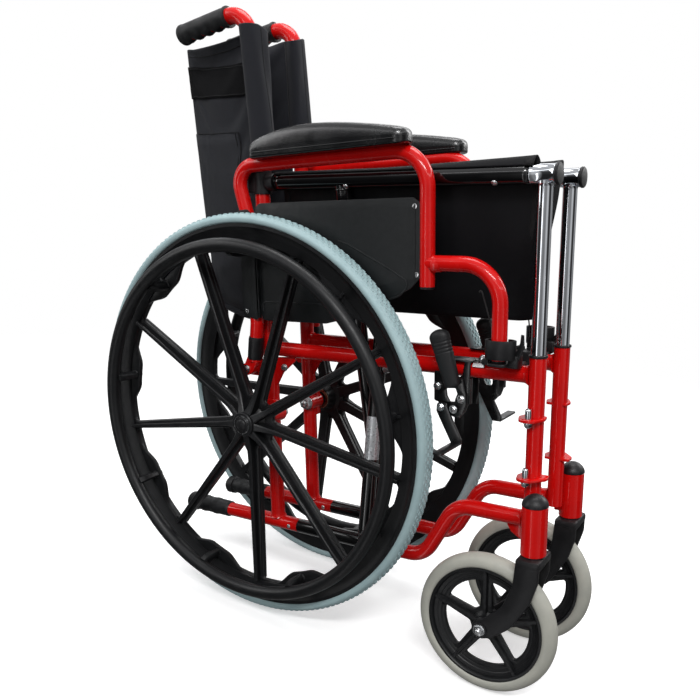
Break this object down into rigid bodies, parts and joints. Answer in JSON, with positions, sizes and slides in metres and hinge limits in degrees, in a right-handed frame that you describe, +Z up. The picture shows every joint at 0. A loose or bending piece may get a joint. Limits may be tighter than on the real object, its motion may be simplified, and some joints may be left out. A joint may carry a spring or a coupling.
{
  "type": "manual wheelchair",
  "caption": "Folding self-propelled wheelchair with cross-braced side frames, large spoked rear wheels with handrims, swivel casters, flip-back padded arms and wheel locks.",
  "frame": {"origin": "middle of the folded chair's base, on the floor under its mid-plane", "axes": "+X forward, +Y to the rider's left, +Z up"},
  "size_m": [0.809, 0.293, 0.8833],
  "materials": {
    "frame_paint": "glossy red powder coat",
    "brace_paint": "glossy black powder coat",
    "brake_paint": "black enamel on pressed steel",
    "chrome": "bright chrome plate",
    "zinc": "zinc-plated steel",
    "wheel_plastic": "moulded black composite",
    "clip_plastic": "satin moulded black",
    "panel_plastic": "satin black sheet moulding",
    "grip_vinyl": "soft black grip vinyl",
    "pad_vinyl": "padded glossy black vinyl",
    "seat_vinyl": "black coated nylon",
    "back_nylon": "black woven nylon",
    "rear_tyre": "pale blue-grey rubber",
    "caster_tyre": "light warm-grey solid rubber"
  },
  "bodies": {
    "right_frame": {"right_front_post": "frame_paint", "right_upper_rail": "frame_paint", "right_back_cane": "frame_paint", "right_push_grip": "grip_vinyl", "right_lower_rail": "frame_paint", "right_tipping_tip": "grip_vinyl", "right_goose_neck": "frame_paint", "right_axle_bolt": "zinc", "right_arm_bracket": "frame_paint", "right_arm_latch": "clip_plastic", "right_brake_bracket": "brake_paint"},
    "right_wheel": {"right_rear_tyre": "rear_tyre", "right_rear_wheel": "wheel_plastic", "right_handrim": "wheel_plastic"},
    "right_caster": {"right_caster_fork": "clip_plastic", "right_caster_axle": "zinc"},
    "right_caster_wheel": {"right_caster_wheel": "wheel_plastic", "right_caster_tyre": "caster_tyre"},
    "right_armrest": {"right_arm_tube": "frame_paint", "right_arm_pad": "pad_vinyl", "right_side_panel": "panel_plastic"},
    "right_brake_lever": {"right_brake_lever": "brake_paint", "right_brake_grip": "grip_vinyl"},
    "right_brake_shoe": {"right_brake_shoe": "brake_paint"},
    "right_guide": {"right_guide_post": "chrome", "right_rear_slide": "clip_plastic"},
    "right_seat": {"right_seat_half": "seat_vinyl"},
    "right_back": {"right_back_half": "back_nylon"},
    "left_frame": {"left_front_post": "frame_paint", "left_upper_rail": "frame_paint", "left_back_cane": "frame_paint", "left_push_grip": "grip_vinyl", "left_lower_rail": "frame_paint", "left_tipping_tip": "grip_vinyl", "left_goose_neck": "frame_paint", "left_axle_bolt": "zinc", "left_arm_bracket": "frame_paint", "left_arm_latch": "clip_plastic", "left_brake_bracket": "brake_paint"},
    "left_wheel": {"left_rear_tyre": "rear_tyre", "left_rear_wheel": "wheel_plastic", "left_handrim": "wheel_plastic"},
    "left_caster": {"left_caster_fork": "clip_plastic", "left_caster_axle": "zinc"},
    "left_caster_wheel": {"left_caster_wheel": "wheel_plastic", "left_caster_tyre": "caster_tyre"},
    "left_armrest": {"left_arm_tube": "frame_paint", "left_arm_pad": "pad_vinyl", "left_side_panel": "panel_plastic"},
    "left_brake_lever": {"left_brake_lever": "brake_paint", "left_brake_grip": "grip_vinyl"},
    "left_brake_shoe": {"left_brake_shoe": "brake_paint"},
    "left_guide": {"left_guide_post": "chrome", "left_rear_slide": "clip_plastic"},
    "left_seat": {"left_seat_half": "seat_vinyl"},
    "left_back": {"left_back_half": "back_nylon"},
    "bar_a": {"cross_bar_a": "brace_paint"},
    "bar_b": {"cross_bar_b": "brace_paint", "pivot_bolt": "zinc"}
  },
  "joints": [
    {"name": "fold", "type": "hinge", "parent": "right_frame", "child": "bar_b", "pos_m": [0.03533, -0.0466, 0.13614], "axis": [-0.9954, 0, -0.0958], "range_deg": [0, 42.8]},
    {"name": "brace_pivot", "type": "hinge", "parent": "bar_b", "child": "bar_a", "pos_m": [0.04188, 0, 0.40199], "axis": [-0.9954, 0, -0.0958], "range_deg": [-86.1, 0]},
    {"name": "left_rail_pivot", "type": "hinge", "parent": "bar_a", "child": "left_frame", "pos_m": [0.03533, 0.0466, 0.13614], "axis": [-0.9954, 0, -0.0958], "range_deg": [0, 43.3]},
    {"name": "right_rail_guide", "type": "hinge", "parent": "bar_a", "child": "right_guide", "pos_m": [0.2933, -0.0466, 0.69142], "axis": [-0.9954, 0, -0.0958], "range_deg": [0, 43.3]},
    {"name": "left_rail_guide", "type": "hinge", "parent": "bar_b", "child": "left_guide", "pos_m": [0.2933, 0.0466, 0.69142], "axis": [-0.9954, 0, -0.0958], "range_deg": [-43.3, 0]},
    {"name": "right_seat_hinge", "type": "hinge", "parent": "right_guide", "child": "right_seat", "pos_m": [0.06358, -0.02785, 0.69837], "axis": [0.9954, 0, 0.0958], "range_deg": [0, 66.41]},
    {"name": "left_seat_hinge", "type": "hinge", "parent": "left_guide", "child": "left_seat", "pos_m": [0.06358, 0.02785, 0.69837], "axis": [-0.9954, 0, -0.0958], "range_deg": [0, 66.41]},
    {"name": "right_back_hinge", "type": "hinge", "parent": "right_frame", "child": "right_back", "pos_m": [-0.11332, -0.02827, 0.73264], "axis": [0.1654, 0, -0.9862], "range_deg": [0, 66.41]},
    {"name": "left_back_hinge", "type": "hinge", "parent": "left_frame", "child": "left_back", "pos_m": [-0.11332, 0.02827, 0.73264], "axis": [-0.1654, 0, 0.9862], "range_deg": [0, 66.41]},
    {"name": "right_wheel_spin", "type": "hinge", "parent": "right_frame", "child": "right_wheel", "pos_m": [-0.09947, -0.098, 0.305], "axis": [0, 1, 0], "continuous": true},
    {"name": "right_caster_swivel", "type": "hinge", "parent": "right_frame", "child": "right_caster", "pos_m": [0.35255, -0.076, 0.24304], "axis": [-0.0958, 0, 0.9954], "range_deg": [-40, 220]},
    {"name": "right_caster_spin", "type": "hinge", "parent": "right_caster", "child": "right_caster_wheel", "pos_m": [0.30287, -0.076, 0.1016], "axis": [0, 1, 0], "continuous": true},
    {"name": "right_armrest_flip", "type": "hinge", "parent": "right_frame", "child": "right_armrest", "pos_m": [-0.13145, -0.071, 0.37626], "axis": [0, -1, 0], "range_deg": [0, 100]},
    {"name": "right_brake_lever", "type": "hinge", "parent": "right_frame", "child": "right_brake_lever", "pos_m": [0.21705, -0.066, 0.38772], "axis": [0, 1, 0], "range_deg": [0, 26]},
    {"name": "right_brake_shoe", "type": "hinge", "parent": "right_frame", "child": "right_brake_shoe", "pos_m": [0.19805, -0.068, 0.38689], "axis": [0, 1, 0], "range_deg": [0, 18.8]},
    {"name": "left_wheel_spin", "type": "hinge", "parent": "left_frame", "child": "left_wheel", "pos_m": [-0.09947, 0.098, 0.305], "axis": [0, 1, 0], "continuous": true},
    {"name": "left_caster_swivel", "type": "hinge", "parent": "left_frame", "child": "left_caster", "pos_m": [0.35255, 0.076, 0.24304], "axis": [-0.0958, 0, 0.9954], "range_deg": [-220, 40]},
    {"name": "left_caster_spin", "type": "hinge", "parent": "left_caster", "child": "left_caster_wheel", "pos_m": [0.30287, 0.076, 0.1016], "axis": [0, 1, 0], "continuous": true},
    {"name": "left_armrest_flip", "type": "hinge", "parent": "left_frame", "child": "left_armrest", "pos_m": [-0.13145, 0.071, 0.37626], "axis": [0, -1, 0], "range_deg": [0, 100]},
    {"name": "left_brake_lever", "type": "hinge", "parent": "left_frame", "child": "left_brake_lever", "pos_m": [0.21705, 0.066, 0.38772], "axis": [0, 1, 0], "range_deg": [0, 26]},
    {"name": "left_brake_shoe", "type": "hinge", "parent": "left_frame", "child": "left_brake_shoe", "pos_m": [0.19805, 0.068, 0.38689], "axis": [0, 1, 0], "range_deg": [0, 18.8]}
  ],
  "couplings": [
    {"joint": "brace_pivot", "follows": "fold", "ratio": -2},
    {"joint": "left_rail_pivot", "follows": "fold", "ratio": 1},
    {"joint": "right_rail_guide", "follows": "fold", "ratio": 1},
    {"joint": "left_rail_guide", "follows": "fold", "ratio": -1},
    {"joint": "right_seat_hinge", "follows": "fold", "ratio": 1.54},
    {"joint": "left_seat_hinge", "follows": "fold", "ratio": 1.54},
    {"joint": "right_back_hinge", "follows": "fold", "ratio": 1.54},
    {"joint": "left_back_hinge", "follows": "fold", "ratio": 1.54},
    {"joint": "right_brake_shoe", "follows": "right_brake_lever", "ratio": 0.70385},
    {"joint": "left_brake_shoe", "follows": "left_brake_lever", "ratio": 0.70385}
  ]
}
